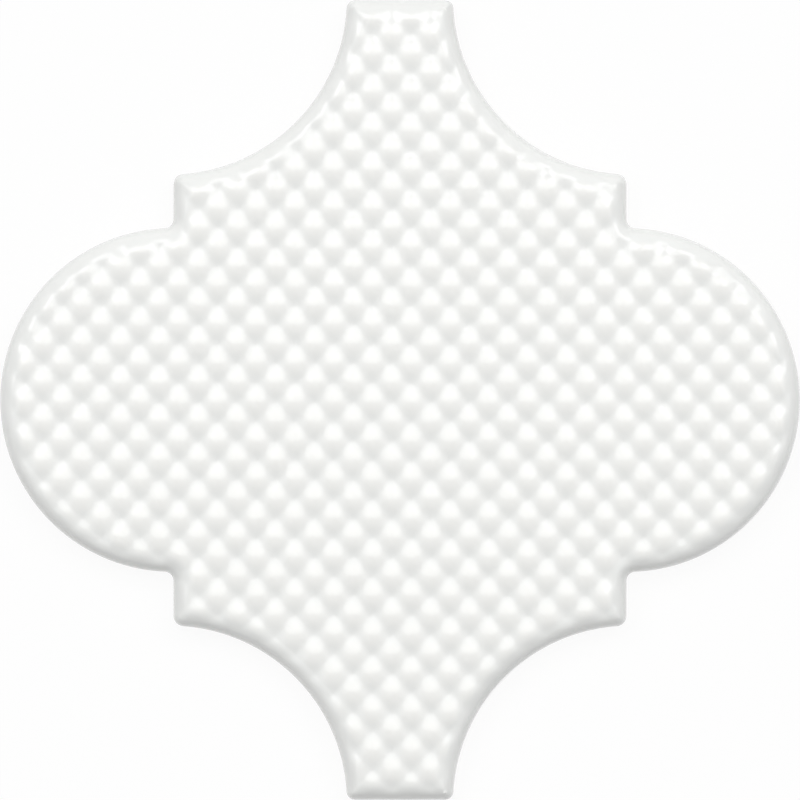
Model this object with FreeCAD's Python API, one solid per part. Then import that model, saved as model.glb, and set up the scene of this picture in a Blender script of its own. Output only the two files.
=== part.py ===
import FreeCAD, Part
import math
import os
from FreeCAD import Vector

# Arabesque wall tile, pressed from one piece of clay and glazed, lying face up on its back.
# X runs across the two lobes, Y runs from tip to tip, Z is up, and the back lies at Z = 0.
# All sizes are in millimetres.

# Plan of the tile
tile_width = 150.0
tile_height = 150.0
tip_width = 20.0
step_height = 10.125
laying_joint = 0.75

# Section of the tile, from the back to the crests of the relief
thickness = 9.0

# Rounding of the plan corners
tip_corner_radius = 1.6
shoulder_radius = 2.0
inner_corner_radius = 1.7
least_corner_radius = 0.2

# Rolled rim, a quarter of an ellipse drawn in flat bands, and the broken edge of the back
rim_width = 4.3
rim_drop = 5.5
rim_bands = 6
back_chamfer = 0.4

# Relief of the face: two waves that cross on the diagonals of the tile
relief_pitch = 5.13
relief_depth = 0.9
relief_crest_x = 2.1
relief_crest_y = -0.5
rim_above_crests = 0.1

# Keyed back: shallow square pockets between ribs, inside a plain border
key_border = 5.0
key_size = 11.0
key_rib = 2.5
key_depth = 0.6
least_key_share = 0.2

# Neighbouring tiles stand half a column and half a row away, one laying joint apart
column_step = tile_width / 2 + tip_width / 2 + laying_joint
row_step = (tile_height + laying_joint) / 2
lobe_radius = (row_step - laying_joint - step_height) / 2
lobe_x = tile_width / 2 - lobe_radius

# The hollow beside a tip takes the lobe of the next tile and the laying joint
hollow_radius = lobe_radius + laying_joint
hollow_x = column_step - lobe_x
hollow_y = row_step
side_x = (column_step - laying_joint) / 2

rim_height = thickness + rim_above_crests


def leg(hypotenuse, other):
    """Length of one leg of a right triangle."""
    return math.sqrt(hypotenuse ** 2 - other ** 2)


def toward(centre, point, radius):
    """Point on a circle round the centre, in the direction of another point."""
    return centre + (point - centre).normalize() * radius


def rounded(centre, first, last, radius):
    """Arc of a plan corner as three points, between the directions of two other points."""
    start, end = toward(centre, first, radius), toward(centre, last, radius)
    return start, toward(centre, (start + end) * 0.5, radius), end


def quarter(inset):
    """Runs of the outline in the +X +Y quarter, from tip to lobe, `inset` inside the edge."""
    side = side_x - inset
    end = tile_height / 2 - inset
    lobe, hollow = lobe_radius - inset, hollow_radius + inset
    lobe_centre = Vector(lobe_x, 0, 0)
    hollow_centre = Vector(hollow_x, hollow_y, 0)
    lobe_end = Vector(tile_width / 2 - inset, 0, 0)

    # the corner of the tip touches the flat end and the hollow
    radius = max(tip_corner_radius - inset, least_corner_radius)
    y = end - radius
    x = hollow_x - leg(hollow + radius, hollow_y - y)
    tip = rounded(Vector(x, y, 0), Vector(x, end, 0), hollow_centre, radius)

    # the shoulder touches the hollow and the upright side
    radius = max(shoulder_radius - inset, least_corner_radius)
    x = side - radius
    y = hollow_y - leg(hollow + radius, hollow_x - x)
    shoulder = rounded(Vector(x, y, 0), hollow_centre, Vector(side, y, 0), radius)

    # the inner corner touches the upright side and the lobe from outside
    radius = inner_corner_radius + inset
    x = side + radius
    y = leg(lobe + radius, x - lobe_x)
    inner = rounded(Vector(x, y, 0), Vector(side, y, 0), lobe_centre, radius)

    hollow_arc = rounded(hollow_centre, tip[-1], shoulder[0], hollow)
    lobe_arc = rounded(lobe_centre, inner[-1], lobe_end, lobe)
    return [tip, hollow_arc, shoulder, (shoulder[-1], inner[0]), inner, lobe_arc]


def draw(run):
    """Edge of a run that is held by two points of a line or three of an arc."""
    return (Part.Arc if len(run) == 3 else Part.LineSegment)(*run).toShape()


def plan_wire(inset, level=0):
    """Outline of the tile, `inset` inside its edge, at one height."""
    down = quarter(inset)
    back = [tuple(Vector(p.x, -p.y, 0) for p in reversed(run)) for run in reversed(down)]
    corner = down[0][0]
    flat_end = (Vector(-corner.x, corner.y, 0), corner)
    half = [flat_end] + down + back
    other = [tuple(Vector(-p.x, -p.y, 0) for p in run) for run in half]
    wire = Part.Wire([draw(run) for run in half + other])
    wire.translate(Vector(0, 0, level))
    return wire


def plain_body():
    """The pressed blank: chamfered back, upright walls and rolled rim."""
    wires = [plan_wire(back_chamfer), plan_wire(0, back_chamfer)]
    for band in range(rim_bands + 1):
        turn = math.pi / 2 * band / rim_bands
        inset = rim_width * (1 - math.cos(turn))
        wires.append(plan_wire(inset, rim_height - rim_drop * (1 - math.sin(turn))))
    return Part.makeLoft(wires, True, True)


def back_keys():
    """Pockets of the keyed back, cut off by the plain border, with ribs crossing at the centre."""
    pitch = key_size + key_rib
    count = math.ceil(max(tile_width, tile_height) / 2 / pitch)
    inside = Part.Face(plan_wire(key_border)).extrude(Vector(0, 0, key_depth))
    pockets = []
    for column in range(-count, count):
        for row in range(-count, count):
            corner = Vector(column * pitch + key_rib / 2, row * pitch + key_rib / 2, 0)
            pockets.append(Part.makeBox(key_size, key_size, key_depth, corner))
    cut = inside.common(Part.makeCompound(pockets))
    least = least_key_share * key_size ** 2 * key_depth
    return [pocket for pocket in cut.Solids if pocket.Volume > least]


def relief_blank():
    """Block whose top is two crossing zigzag waves, one low four-sided bump to each crest."""
    half = relief_pitch / 2
    swing = relief_depth / 2
    reach = math.hypot(tile_width, tile_height) / 2 + math.hypot(relief_crest_x, relief_crest_y)
    count = math.ceil(reach / half)
    along = [Vector(0, j * half, -(j % 2) * swing) for j in range(-count, count + 1)]
    crest_line = Part.makePolygon(along)
    faces = []
    for i in range(-count, count):
        low, high = -(i % 2) * swing, -((i + 1) % 2) * swing
        strip = crest_line.copy()
        strip.translate(Vector(i * half, 0, low))
        faces += strip.extrude(Vector(half, 0, high - low)).Faces
    size = count * half
    floor = -thickness - relief_depth
    drop = -(count % 2) * swing
    for turn in range(4):
        top = [Vector(size, p.y, p.z + drop) for p in along]
        wall = Part.Face(Part.makePolygon(top + [Vector(size, size, floor),
                                                 Vector(size, -size, floor), top[0]]))
        wall.rotate(Vector(0, 0, 0), Vector(0, 0, 1), 90 * turn)
        faces.append(wall)
    base = [Vector(-size, -size, floor), Vector(size, -size, floor),
            Vector(size, size, floor), Vector(-size, size, floor)]
    faces.append(Part.Face(Part.makePolygon(base + base[:1])))
    shell = Part.makeShell(faces)
    shell.sewShape()
    block = Part.makeSolid(shell)
    block.rotate(Vector(0, 0, 0), Vector(0, 0, 1), 45)
    block.translate(Vector(relief_crest_x, relief_crest_y, thickness))
    return block


def tile():
    body = plain_body().cut(Part.makeCompound(back_keys()))
    return body.common(relief_blank()).Solids[0]


os.makedirs("parts", exist_ok=True)
tile_solid = tile()
tile_solid.exportStep("parts/tile.step")
print("tile", len(tile_solid.Faces), "faces", round(tile_solid.Volume / 1000, 2), "cm3")
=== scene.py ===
import bmesh
import bpy
import math
from mathutils import Matrix, Vector, noise
from mathutils.bvhtree import BVHTree


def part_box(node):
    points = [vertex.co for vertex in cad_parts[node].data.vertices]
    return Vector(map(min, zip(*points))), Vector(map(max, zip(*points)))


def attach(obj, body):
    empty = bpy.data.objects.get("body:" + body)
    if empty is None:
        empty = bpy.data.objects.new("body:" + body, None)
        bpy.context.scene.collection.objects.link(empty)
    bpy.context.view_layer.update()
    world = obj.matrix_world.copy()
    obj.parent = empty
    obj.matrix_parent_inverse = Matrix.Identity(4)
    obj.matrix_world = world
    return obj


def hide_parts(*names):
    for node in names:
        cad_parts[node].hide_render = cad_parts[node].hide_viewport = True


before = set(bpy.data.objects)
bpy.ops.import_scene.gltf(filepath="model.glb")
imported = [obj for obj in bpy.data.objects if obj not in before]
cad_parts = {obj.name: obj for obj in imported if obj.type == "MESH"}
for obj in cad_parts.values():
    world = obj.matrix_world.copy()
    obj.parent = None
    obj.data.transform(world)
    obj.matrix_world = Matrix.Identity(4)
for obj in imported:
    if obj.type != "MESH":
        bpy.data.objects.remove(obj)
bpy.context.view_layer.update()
tileLow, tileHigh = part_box("tile")
print("frame loaded, tile box", [round(v, 4) for v in tileLow], [round(v, 4) for v in tileHigh])

mm = 0.001
hair = 0.001 * mm                      # points nearer than this count as one
up = Vector((0, 0, 1))

# One arabesque tile: pressed clay, glazed on its face and over the top of its sides.
tile = {
    # outline, seen from above
    "halfWidth": (tileHigh[0] - tileLow[0]) / 2,
    "halfHeight": (tileHigh[1] - tileLow[1]) / 2,
    "tipWidth": 20 * mm,
    "stepHeight": 10.125 * mm,
    "layingJoint": 0.75 * mm,          # the hollows leave this round the next tile's lobe
    "tipCorner": 1.6 * mm,
    "shoulderCorner": 2.0 * mm,
    "innerCorner": 1.7 * mm,
    "leastCorner": 0.2 * mm,           # corners drawn further in keep at least this
    "outlineStep": 0.5 * mm,           # length of one mesh edge along the outline
    # rolled rim
    "thickness": tileHigh[2] - tileLow[2],      # back to crests
    "rimAbove": 0.1 * mm,              # the rim's own top would lie this far above the crests
    "rimWidth": 4.3 * mm,
    "rimDrop": 5.5 * mm,               # how far the rim rolls down before the side turns upright
    "rimRings": (0.01, 0.03, 0.08, 0.17, 0.3, 0.46, 0.66, 0.9, 1.16, 1.45),    # millimetres inwards
    # relief of crossing waves
    "reliefPitch": 5.13 * mm,
    "reliefDepth": 0.8 * mm,          # the glaze fills the pits a little
    "valleyEase": 0.8,                 # 0 gives round bumps with sharp valleys, 1 gives plain waves
    "crestX": 2.1 * mm,
    "crestY": -0.5 * mm,
    "reliefStart": 0.4 * mm,           # the relief fades in from here
    "reliefFull": 3.8 * mm,            # and is whole from here, both in from the edge
    "cutsPerWave": 10,
    "cutsGather": 0.55,                # 0 spaces the cuts evenly, near 1 crowds them into the valleys
    "fillGap": 0.3 * mm,               # room between the rim's rings and the first row of the relief
    # small unevenness of pressing and glazing
    "driftSize": 9 * mm,
    "drift": 0.16 * mm,                # how far a crest strays sideways
    "lumpSize": 2.6 * mm,
    "lump": 0.045 * mm,                # how unlike its neighbours a bump is
    "poolSize": 5 * mm,
    "pool": 0.03 * mm,                 # how far the glaze's level varies
    # sides and back
    "glazeLine": 2.6 * mm,             # height of the lower edge of the glaze on the sides
    "glazeWobble": 0.7 * mm,
    "wobbleSize": 12 * mm,
    "glazeThickness": 0.15 * mm,
    "lipTop": 0.35 * mm,               # the glaze's lip turns in from this far above the line
    "lipFold": 0.1 * mm,               # to here, where it has turned in by the lip's depth
    "lipDepth": 0.04 * mm,
    "backChamfer": 0.4 * mm,
    "keyBorder": 5.0 * mm,
    "keySize": 11.0 * mm,
    "keyRib": 2.5 * mm,
    "keyDepth": 0.6 * mm,
    "keyDraft": 0.12 * mm,             # how far a pocket's walls lean in towards its floor
    "keyCorner": 0.7 * mm,
    "keyEdge": 0.15 * mm,
    "keyOutlineStep": 2 * mm,
    "cornerAngle": 2.2,                # radians, a pocket's own corners are sharper than this
    "leastKeyShare": 0.2,              # smaller pieces of pocket than this share of one are left out
    # shading
    "backFlat": 0.99,                  # faces that look down more squarely than this are shaded flat
    "sharpAngle": 0.6,                 # radians, edges that turn more than this stay sharp
}


def plan(inset):                       # centres and radii of the outline, drawn inset from the edge
    t = tile
    rowStep = t["halfHeight"] + t["layingJoint"] / 2
    columnStep = t["halfWidth"] + t["tipWidth"] / 2 + t["layingJoint"]
    lobe = (rowStep - t["layingJoint"] - t["stepHeight"]) / 2
    lobeX = t["halfWidth"] - lobe
    return {
        "end": t["halfHeight"] - inset,
        "side": (columnStep - t["layingJoint"]) / 2 - inset,
        "lobe": lobe - inset,
        "lobeCentre": Vector((lobeX, 0, 0)),
        "hollow": lobe + t["layingJoint"] + inset,
        "hollowCentre": Vector((columnStep - lobeX, rowStep, 0)),
    }


def insideTest():                      # returns a test of whether a point lies inside the outline
    p = plan(0)

    def inside(x, y):
        spot = Vector((abs(x), abs(y), 0))
        inLobe = (spot - p["lobeCentre"]).length < p["lobe"]
        inHollow = (spot - p["hollowCentre"]).length < p["hollow"]
        return inLobe or (spot.x < p["side"] and spot.y < p["end"] and not inHollow)
    return inside


def reach(radius, across):             # other leg of a right triangle
    return math.sqrt(radius ** 2 - across ** 2)


def heading(start, end):
    return math.atan2(end.y - start.y, end.x - start.x)


def sweep(bm, vert, centre, turn, step):      # spins one vertex round a centre into an arc
    steps = max(3, round(abs(turn) * (vert.co - centre).length / step))
    arc = bmesh.ops.spin(bm, geom=[vert], cent=centre, axis=up, angle=turn, steps=steps,
                         use_merge=False, use_duplicate=False)
    return arc["geom_last"][0]


def straight(bm, vert, end, step):            # draws a straight run of short edges to a point
    cuts = max(1, round((end - vert.co).length / step))
    stride = (end - vert.co) / cuts
    for _ in range(cuts):
        vert = bmesh.ops.extrude_vert_indiv(bm, verts=[vert])["verts"][0]
        vert.co += stride
    return vert


def drawOutline(bm, inset, step):      # one quarter from the tip to the lobe's end, then mirrored twice
    p = plan(inset)
    tipR = max(tile["tipCorner"] - inset, tile["leastCorner"])
    shoulderR = max(tile["shoulderCorner"] - inset, tile["leastCorner"])
    innerR = tile["innerCorner"] + inset
    hollow, lobe = p["hollowCentre"], p["lobeCentre"]
    tipY = p["end"] - tipR
    tipCentre = Vector((hollow.x - reach(p["hollow"] + tipR, hollow.y - tipY), tipY, 0))
    shoulderX = p["side"] - shoulderR
    shoulderY = hollow.y - reach(p["hollow"] + shoulderR, hollow.x - shoulderX)
    shoulderCentre = Vector((shoulderX, shoulderY, 0))
    innerX = p["side"] + innerR
    innerCentre = Vector((innerX, reach(p["lobe"] + innerR, innerX - lobe.x), 0))

    vert = bm.verts.new((0, p["end"], 0))
    vert = straight(bm, vert, Vector((tipCentre.x, p["end"], 0)), step)
    vert = sweep(bm, vert, tipCentre, heading(tipCentre, hollow) - math.pi / 2, step)
    turn = heading(shoulderCentre, hollow) - heading(tipCentre, hollow)
    vert = sweep(bm, vert, hollow, turn, step)
    vert = sweep(bm, vert, shoulderCentre, -heading(shoulderCentre, hollow), step)
    vert = straight(bm, vert, Vector((p["side"], innerCentre.y, 0)), step)
    vert = sweep(bm, vert, innerCentre, heading(lobe, innerCentre), step)
    sweep(bm, vert, lobe, -heading(lobe, innerCentre), step)
    for axis in ("X", "Y"):
        bmesh.ops.mirror(bm, geom=bm.verts[:] + bm.edges[:], matrix=Matrix(), axis=axis,
                         merge_dist=hair)
    bmesh.ops.remove_doubles(bm, verts=bm.verts, dist=hair)
    face = bmesh.ops.contextual_create(bm, geom=bm.edges[:])["faces"][0]
    face.normal_update()
    if face.normal.z < 0:
        face.normal_flip()
    return face


def rimHeight(edge):                   # height of the rolled rim, edge metres in from the outline
    share = min(edge / tile["rimWidth"], 1)
    roll = tile["rimDrop"] * (1 - math.sqrt(1 - (1 - share) ** 2))
    return tile["thickness"] + tile["rimAbove"] - roll


def smoothStep(value, low, high):
    share = min(max((value - low) / (high - low), 0), 1)
    return share * share * (3 - 2 * share)


def wander(x, y, size, seed):          # smooth noise of about -1 to 1, another one for each seed
    return noise.noise(Vector((x / size, y / size, seed)))


def crossWave(along):                  # one wave of the relief, 1 on its crests and 0 in its valleys
    ease = tile["valleyEase"]
    bulge = math.hypot(math.cos(math.pi * along / tile["reliefPitch"]), ease)
    return (bulge - ease) / (math.hypot(1, ease) - ease)


def stray(x, y):                       # how far the pattern is shifted sideways at a spot
    return (tile["drift"] * wander(x, y, tile["driftSize"], 1.5),
            tile["drift"] * wander(x, y, tile["driftSize"], 7.5))


def faceHeight(x, y, edge):            # glazed surface: two waves on the diagonals, sunk in the rim
    t = tile
    offX, offY = stray(x, y)
    dx, dy = x - t["crestX"] - offX, y - t["crestY"] - offY
    waves = crossWave((dx + dy) / math.sqrt(2)) + crossWave((dx - dy) / math.sqrt(2))
    drop = t["rimAbove"] + t["reliefDepth"] * (1 - waves / 2)
    drop += t["pool"] * (1 + wander(x, y, t["poolSize"], 3.5)) / 2
    drop += t["lump"] * (1 + wander(x, y, t["lumpSize"], 5.5)) / 2
    return rimHeight(edge) - drop * smoothStep(edge, t["reliefStart"], t["reliefFull"])


def addKeys(bm):                       # pockets of the keyed back, as flat faces at z = 0
    t = tile
    keys = bmesh.new()
    drawOutline(keys, t["keyBorder"], t["keyOutlineStep"])
    pitch = t["keySize"] + t["keyRib"]
    lines = math.ceil(t["halfWidth"] / pitch)
    for normal in (Vector((1, 0, 0)), Vector((0, 1, 0))):
        for line in range(-lines, lines + 1):
            for side in (-1, 1):
                cut = normal * (line * pitch + side * t["keyRib"] / 2)
                bmesh.ops.bisect_plane(keys, geom=keys.verts[:] + keys.edges[:] + keys.faces[:],
                                       plane_co=cut, plane_no=normal)
    spare = []
    for face in keys.faces:
        centre = face.calc_center_median()
        offLine = [abs(c / pitch - round(c / pitch)) * pitch for c in (centre.x, centre.y)]
        onRib = min(offLine) < t["keyRib"] / 2
        if onRib or face.calc_area() < t["leastKeyShare"] * t["keySize"] ** 2:
            spare.append(face)
    bmesh.ops.delete(keys, geom=spare, context="FACES")
    corners = {loop.vert for face in keys.faces for loop in face.loops
               if loop.calc_angle() < t["cornerAngle"]}
    crowding = {edge.other_vert(vert) for vert in corners for edge in vert.link_edges
                if edge.calc_length() < 2 * t["keyCorner"]}
    bmesh.ops.dissolve_verts(keys, verts=list(crowding - corners))
    for face in keys.faces[:]:         # one pocket at a time, as a tight corner makes all of them small
        own = [vert for vert in face.verts if vert in corners]
        bmesh.ops.bevel(keys, geom=own, affect="VERTICES", offset=t["keyCorner"], segments=3,
                        profile=0.5, material=-1, clamp_overlap=True)
    for face in keys.faces:
        if face.normal.z > 0:
            face.normal_flip()
    mesh = bpy.data.meshes.new("keys")
    keys.to_mesh(mesh)
    keys.free()
    before = set(bm.faces)
    bm.from_mesh(mesh)
    bpy.data.meshes.remove(mesh)
    return [face for face in bm.faces if face not in before]


def crowd(along):                      # moves an evenly spaced line of the grid towards a valley
    turn = 2 * math.pi * along / tile["reliefPitch"]
    return along + tile["cutsGather"] * math.sin(turn) * tile["reliefPitch"] / (2 * math.pi)


def addRelief(bm, wall):               # fine grid along the waves, trimmed inside the rim's last ring
    t = tile
    cell = t["reliefPitch"] / t["cutsPerWave"]
    half = math.hypot(t["halfWidth"], t["halfHeight"]) + t["reliefPitch"]
    cells = 2 * math.ceil(half / cell / math.sqrt(2))
    place = Matrix.Translation((t["crestX"], t["crestY"], t["thickness"]))
    place @= Matrix.Rotation(math.pi / 4, 4, "Z")
    grid = bmesh.ops.create_grid(bm, x_segments=cells, y_segments=cells, size=cells * cell / 2)["verts"]
    for vert in grid:
        spot = place @ Vector((crowd(vert.co.x), crowd(vert.co.y), 0))
        vert.co = spot + Vector((*stray(spot.x, spot.y), 0))
    inset = t["rimRings"][-1] * mm + t["fillGap"]
    inside = insideTest()
    spare = [v for v in grid if not inside(v.co.x, v.co.y) or wall.find_nearest(v.co)[3] < inset]
    kept = set(grid) - set(spare)
    bmesh.ops.delete(bm, geom=spare, context="VERTS")
    while True:                        # no two cells may touch by a corner alone
        spare = [v for v in kept if sum(e.is_boundary for e in v.link_edges) > 2 or not v.link_faces]
        if not spare:
            break
        kept -= set(spare)
        bmesh.ops.delete(bm, geom=spare, context="VERTS")
    return kept


def fillBetween(bm, outer, inner):     # triangles between two sets of closed edge loops
    bmesh.ops.triangle_fill(bm, use_beauty=True, use_dissolve=False, edges=outer + inner)


def makeSolid():                       # upright prism of the outline, and a tree to measure from its wall
    bm = bmesh.new()
    outline = drawOutline(bm, 0, tile["outlineStep"])
    outline.normal_flip()
    raised = bmesh.ops.extrude_face_region(bm, geom=[outline], use_keep_orig=True)["geom"]
    lifted = [g for g in raised if isinstance(g, bmesh.types.BMVert)]
    bmesh.ops.translate(bm, verts=lifted, vec=up * tile["thickness"])
    bmesh.ops.recalc_face_normals(bm, faces=bm.faces)
    walls = bm.copy()
    caps = [f for f in walls.faces if abs(f.normal.z) > 0.5]
    bmesh.ops.delete(walls, geom=caps, context="FACES_ONLY")
    tree = BVHTree.FromBMesh(walls)
    walls.free()
    return bm, tree


def shapeFace(bm, wall):               # rings of the rolled rim, then the relief inside them
    t = tile
    face = next(f for f in bm.faces if f.normal.z > 0.5)
    done = 0
    for ring in t["rimRings"]:
        bmesh.ops.inset_region(bm, faces=[face], thickness=ring * mm - done, use_even_offset=True,
                               use_boundary=True)
        done = ring * mm
    ringEdges = face.edges[:]
    bmesh.ops.delete(bm, geom=[face], context="FACES_ONLY")
    kept = addRelief(bm, wall)
    reliefEdges = [e for e in bm.edges if e.is_boundary and e.verts[0] in kept]
    fillBetween(bm, ringEdges, reliefEdges)
    for vert in bm.verts:
        if vert.co.z > t["thickness"] / 2:
            vert.co.z = faceHeight(vert.co.x, vert.co.y, wall.find_nearest(vert.co)[3])


def glazeEdge(x, y):                   # height where the glaze ends on the sides
    return tile["glazeLine"] + tile["glazeWobble"] * wander(x, y, tile["wobbleSize"], 11.5)


def shapeSides(bm):                    # the glaze ends in a wandering lip, the clay below stands back
    t = tile
    lip = ((t["lipTop"], 0), (t["lipFold"], t["lipDepth"]), (0, t["glazeThickness"]))
    for rise, _ in lip:
        sides = [f for f in bm.faces if abs(f.normal.z) < 0.01]
        around = {g for f in sides for g in (*f.verts, *f.edges, f)}
        bmesh.ops.bisect_plane(bm, geom=list(around), plane_co=up * (t["glazeLine"] + rise),
                               plane_no=up)
    for vert in bm.verts:
        vert.normal_update()
    for vert in bm.verts:
        height = vert.co.z - t["glazeLine"]
        if height > lip[0][0] + hair:
            continue
        back = next((step for rise, step in lip if abs(height - rise) < hair), t["glazeThickness"])
        out = Vector((vert.normal.x, vert.normal.y, 0)).normalized()
        if height > -hair:
            vert.co.z = glazeEdge(vert.co.x, vert.co.y) + height
        vert.co -= out * back


def shapeBack(bm):                     # chamfered edge and pockets between ribs
    t = tile
    face = max(bm.faces, key=lambda f: len(f.verts))
    rim = bmesh.ops.inset_region(bm, faces=[face], thickness=t["backChamfer"], use_even_offset=True,
                                 use_boundary=True)["faces"]
    outer = {v for f in rim for v in f.verts} - set(face.verts)
    bmesh.ops.translate(bm, verts=list(outer), vec=up * t["backChamfer"])
    borderEdges = face.edges[:]
    bmesh.ops.delete(bm, geom=[face], context="FACES_ONLY")
    keys = addKeys(bm)
    keyEdges = list({e for key in keys for e in key.edges})
    fillBetween(bm, borderEdges, keyEdges)
    bmesh.ops.recalc_face_normals(bm, faces=bm.faces)
    bmesh.ops.inset_region(bm, faces=keys, thickness=t["keyDraft"], depth=-t["keyDepth"],
                           use_even_offset=True, use_boundary=True)
    bmesh.ops.bevel(bm, geom=keyEdges, affect="EDGES", offset=t["keyEdge"], segments=2,
                    profile=0.5, material=-1, clamp_overlap=True)
    return len(keys)


def makeTile():
    bm, wall = makeSolid()
    shapeFace(bm, wall)
    shapeSides(bm)
    pockets = shapeBack(bm)
    bmesh.ops.remove_doubles(bm, verts=bm.verts, dist=hair)
    bmesh.ops.recalc_face_normals(bm, faces=bm.faces)
    for face in bm.faces:
        middle = face.calc_center_median()
        face.smooth = face.normal.z > -tile["backFlat"]
        face.material_index = int(middle.z < glazeEdge(middle.x, middle.y))
    for edge in bm.edges:
        edge.smooth = edge.calc_face_angle(0) < tile["sharpAngle"]
    loose = sum(not e.is_manifold for e in bm.edges)
    print("tile made,", len(bm.faces), "faces,", pockets, "pockets,", loose, "open edges,",
          round(bm.calc_volume() * 1e6, 2), "cm3")
    mesh = bpy.data.meshes.new("glazedTile")
    bm.to_mesh(mesh)
    bm.free()
    piece = bpy.data.objects.new("glazedTile", mesh)
    bpy.context.scene.collection.objects.link(piece)
    return piece


def linearColour(text):                # sRGB hex to linear, with full alpha
    parts = [int(text[i:i + 2], 16) / 255 for i in (1, 3, 5)]
    return [p / 12.92 if p <= 0.04045 else ((p + 0.055) / 1.055) ** 2.4 for p in parts] + [1]


def addNode(tree, kind, settings, inputs):      # inputs hold plain values or other nodes' outputs
    node = tree.nodes.new(kind)
    for name, value in settings.items():
        setattr(node, name, value)
    for name, value in inputs.items():
        if isinstance(value, bpy.types.NodeSocket):
            tree.links.new(value, node.inputs[name])
        else:
            node.inputs[name].default_value = value
    return node


def newMaterial(name):
    material = bpy.data.materials.new(name)
    material.use_nodes = True
    material.node_tree.nodes.clear()
    return material, material.node_tree


# Opaque white tin glaze, sprayed on and fired glossy: a smooth thick skin that rounds the relief and lies
# a little thinner and warmer on the crests; its colour also holds painted shade, darker and cooler in the
# pits.
glaze = {
    "crestColour": "#F5F5F2",
    # painted shade: colour of the pits, darker than the glaze itself
    "pitShadeColour": "#EFF0EE",
    "roughness": 0.12,
    "roughnessSpread": 0.03,           # either way, in clouds of this many millimetres
    "cloudSize": 16.67,
    "ior": 1.5,
    "rippleSize": 3.0,                 # millimetres, faint orange peel of the fired glaze
    "rippleHeight": 0.006,
}


def makeGlaze():
    material, tree = newMaterial("whiteTinGlaze")
    place = addNode(tree, "ShaderNodeTexCoord", {}, {}).outputs["Object"]
    split = addNode(tree, "ShaderNodeSeparateXYZ", {}, {"Vector": place})
    low = tile["thickness"] - tile["reliefDepth"]
    # painted shade: the colour darkens from the crests down into the pits by height
    pitShadeMask = addNode(tree, "ShaderNodeMapRange", {"interpolation_type": "SMOOTHSTEP"},
                    {"Value": split.outputs["Z"], "From Min": low, "From Max": tile["thickness"]})
    colour = addNode(tree, "ShaderNodeMix", {"data_type": "RGBA"},
                     {0: pitShadeMask.outputs["Result"], 6: linearColour(glaze["pitShadeColour"]),
                      7: linearColour(glaze["crestColour"])})
    ripple = addNode(tree, "ShaderNodeTexNoise", {},
                     {"Vector": place, "Scale": 1 / (glaze["rippleSize"] * mm), "Detail": 1.5})
    bump = addNode(tree, "ShaderNodeBump", {},
                   {"Height": ripple.outputs[0], "Strength": 1.0,
                    "Distance": glaze["rippleHeight"] * mm})
    cloud = addNode(tree, "ShaderNodeTexNoise", {},
                    {"Vector": place, "Scale": 1 / (glaze["cloudSize"] * mm), "Detail": 3})
    gloss = addNode(tree, "ShaderNodeMapRange", {},
                    {"Value": cloud.outputs[0], "From Min": 0.3, "From Max": 0.7,
                     "To Min": glaze["roughness"] - glaze["roughnessSpread"],
                     "To Max": glaze["roughness"] + glaze["roughnessSpread"]})
    shader = addNode(tree, "ShaderNodeBsdfPrincipled", {},
                     {"Base Color": colour.outputs[2], "Roughness": gloss.outputs[0],
                      "IOR": glaze["ior"], "Normal": bump.outputs[0]})
    addNode(tree, "ShaderNodeOutputMaterial", {}, {"Surface": shader.outputs[0]})
    return material


# Biscuit earthenware, dry-pressed from a pale clay: matt, finely grained, a little blotched.
clay = {
    "paleColour": "#EDE6D8",
    "darkColour": "#DCD0BC",
    "roughness": 0.85,
    "grainSize": 0.4,                  # millimetres
    "grainHeight": 0.04,
    "blotchSize": 8.0,
    "grainShare": 0.35,                # how much the grain counts beside the blotches
    "mottleShift": -0.12,              # below 0 the clay turns darker
}


def makeClay():
    material, tree = newMaterial("biscuitEarthenware")
    place = addNode(tree, "ShaderNodeTexCoord", {}, {}).outputs["Object"]
    blotch = addNode(tree, "ShaderNodeTexNoise", {},
                     {"Vector": place, "Scale": 1 / (clay["blotchSize"] * mm), "Detail": 4})
    grain = addNode(tree, "ShaderNodeTexNoise", {},
                    {"Vector": place, "Scale": 1 / (clay["grainSize"] * mm), "Detail": 3})
    share = addNode(tree, "ShaderNodeMath", {"operation": "MULTIPLY_ADD"},
                    {0: grain.outputs[0], 1: clay["grainShare"], 2: clay["mottleShift"]})
    mottle = addNode(tree, "ShaderNodeMath", {"operation": "ADD"},
                     {0: blotch.outputs[0], 1: share.outputs[0]})
    colour = addNode(tree, "ShaderNodeMix", {"data_type": "RGBA"},
                     {0: mottle.outputs[0], 6: linearColour(clay["darkColour"]),
                      7: linearColour(clay["paleColour"])})
    bump = addNode(tree, "ShaderNodeBump", {},
                   {"Height": grain.outputs[0], "Strength": 0.8,
                    "Distance": clay["grainHeight"] * mm})
    shader = addNode(tree, "ShaderNodeBsdfPrincipled", {},
                     {"Base Color": colour.outputs[2], "Roughness": clay["roughness"],
                      "Normal": bump.outputs[0]})
    addNode(tree, "ShaderNodeOutputMaterial", {}, {"Surface": shader.outputs[0]})
    return material


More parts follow.
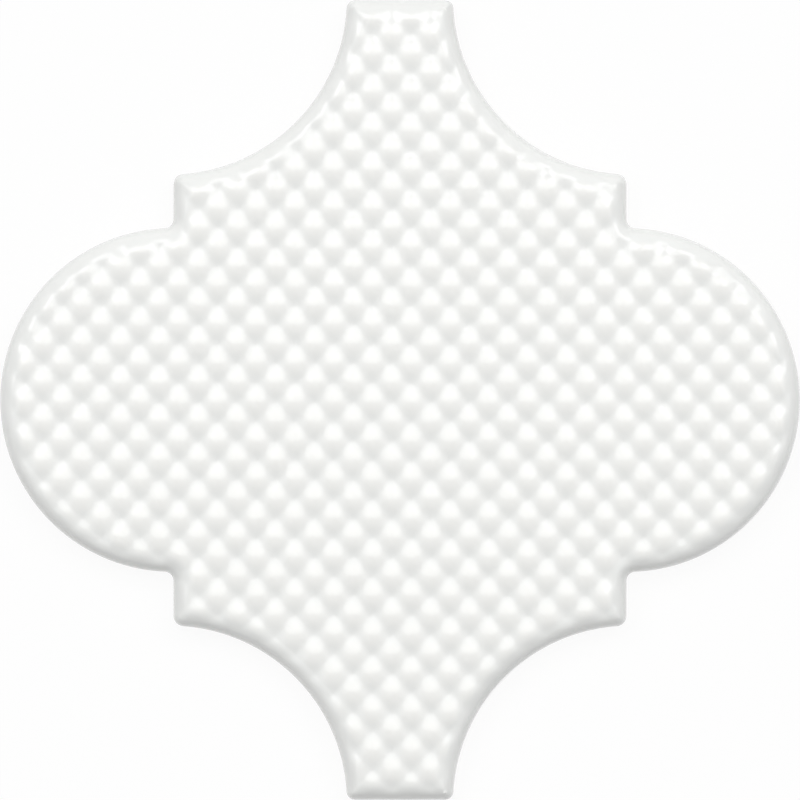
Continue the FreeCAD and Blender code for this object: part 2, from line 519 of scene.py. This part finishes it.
# Studio: pale floor and pale surroundings, a big softbox high over the top of the picture, one
# beyond each upper corner that models the relief, and a weak one to each side.
studio = {
    "floorSize": 8.0,                  # metres
    "floorGap": 0.05 * mm,             # keeps the floor clear of the tile's back
    "floorColour": "#F2F2F2",
    "floorGlow": 0.93,                 # share of plain white that the camera sees on the floor
    "surroundings": 0.34,
    "away": 2.8,                       # metres from the tile to each lamp
    "lamps": {                         # compass from +X and height in degrees, metres, watts
        "highBox": {"compass": 90, "rise": 70, "width": 3.2, "tall": 1.6, "watts": 31.4},
        "rightCornerBox": {"compass": 50, "rise": 52, "width": 1.8, "tall": 1.2, "watts": 15.1},
        "leftCornerBox": {"compass": 130, "rise": 52, "width": 1.8, "tall": 1.2, "watts": 15.1},
        "rightBox": {"compass": 0, "rise": 50, "width": 2.4, "tall": 1.0, "watts": 6.9},
        "leftBox": {"compass": 180, "rise": 50, "width": 2.4, "tall": 1.0, "watts": 6.9},
    },
    "lens": 400,                       # millimetres on a 36 mm sensor
    "sensor": 36,
    "farthest": 20,                    # metres that the camera sees
    "pictureWidth": 150.1 * mm,        # what the square picture takes in at the rim's widest level
}


def seenDirectly(tree):                # 1 for rays from the camera and its mirror and glass paths
    path = addNode(tree, "ShaderNodeLightPath", {}, {})
    either = addNode(tree, "ShaderNodeMath", {"operation": "MAXIMUM"},
                     {0: path.outputs["Is Camera Ray"], 1: path.outputs["Is Glossy Ray"]})
    return addNode(tree, "ShaderNodeMath", {"operation": "MAXIMUM"},
                   {0: either.outputs[0], 1: path.outputs["Is Transmission Ray"]}).outputs[0]


def makeFloor():
    bm = bmesh.new()
    bmesh.ops.create_grid(bm, x_segments=1, y_segments=1, size=studio["floorSize"] / 2)
    mesh = bpy.data.meshes.new("floor")
    bm.to_mesh(mesh)
    bm.free()
    floor = bpy.data.objects.new("floor", mesh)
    bpy.context.scene.collection.objects.link(floor)
    floor.location.z = -studio["floorGap"]
    material, tree = newMaterial("studioPaper")
    matt = addNode(tree, "ShaderNodeBsdfDiffuse", {}, {"Color": linearColour(studio["floorColour"])})
    glow = addNode(tree, "ShaderNodeEmission", {}, {"Strength": 1.0})
    share = addNode(tree, "ShaderNodeMath", {"operation": "MULTIPLY"},
                    {0: seenDirectly(tree), 1: studio["floorGlow"]})
    mix = addNode(tree, "ShaderNodeMixShader", {},
                  {0: share.outputs[0], 1: matt.outputs[0], 2: glow.outputs[0]})
    addNode(tree, "ShaderNodeOutputMaterial", {}, {"Surface": mix.outputs[0]})
    mesh.materials.append(material)


def makeLight():
    world = bpy.data.worlds.new("studio")
    world.use_nodes = True
    tree = world.node_tree
    tree.nodes.clear()
    strength = addNode(tree, "ShaderNodeMapRange", {},
                       {"Value": seenDirectly(tree), "To Min": studio["surroundings"], "To Max": 1.0})
    sky = addNode(tree, "ShaderNodeBackground", {}, {"Strength": strength.outputs[0]})
    addNode(tree, "ShaderNodeOutputWorld", {}, {"Surface": sky.outputs[0]})
    bpy.context.scene.world = world
    for name, box in studio["lamps"].items():
        lamp = bpy.data.lights.new(name, "AREA")
        lamp.shape = "RECTANGLE"
        lamp.size = box["width"]
        lamp.size_y = box["tall"]
        lamp.energy = box["watts"]
        holder = bpy.data.objects.new(name, lamp)
        bpy.context.scene.collection.objects.link(holder)
        compass, rise = math.radians(box["compass"]), math.radians(box["rise"])
        flat = math.cos(rise)
        towards = Vector((flat * math.cos(compass), flat * math.sin(compass), math.sin(rise)))
        holder.location = towards * studio["away"]
        holder.rotation_euler = towards.to_track_quat("Z", "Y").to_euler()


def makeCamera():
    camera = bpy.data.cameras.new("camera")
    camera.lens = studio["lens"]
    camera.sensor_width = studio["sensor"]
    camera.clip_end = studio["farthest"]
    holder = bpy.data.objects.new("camera", camera)
    bpy.context.scene.collection.objects.link(holder)
    away = studio["pictureWidth"] * studio["lens"] / studio["sensor"]
    holder.location = (0, 0, tile["thickness"] - tile["rimDrop"] + away)
    bpy.context.scene.camera = holder


glazedTile = makeTile()
glazedTile.data.materials.append(makeGlaze())
glazedTile.data.materials.append(makeClay())
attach(glazedTile, "root")
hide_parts("tile")
print("materials set")
makeFloor()
makeLight()
makeCamera()
bpy.context.scene.view_settings.view_transform = "Standard"
print("studio set")
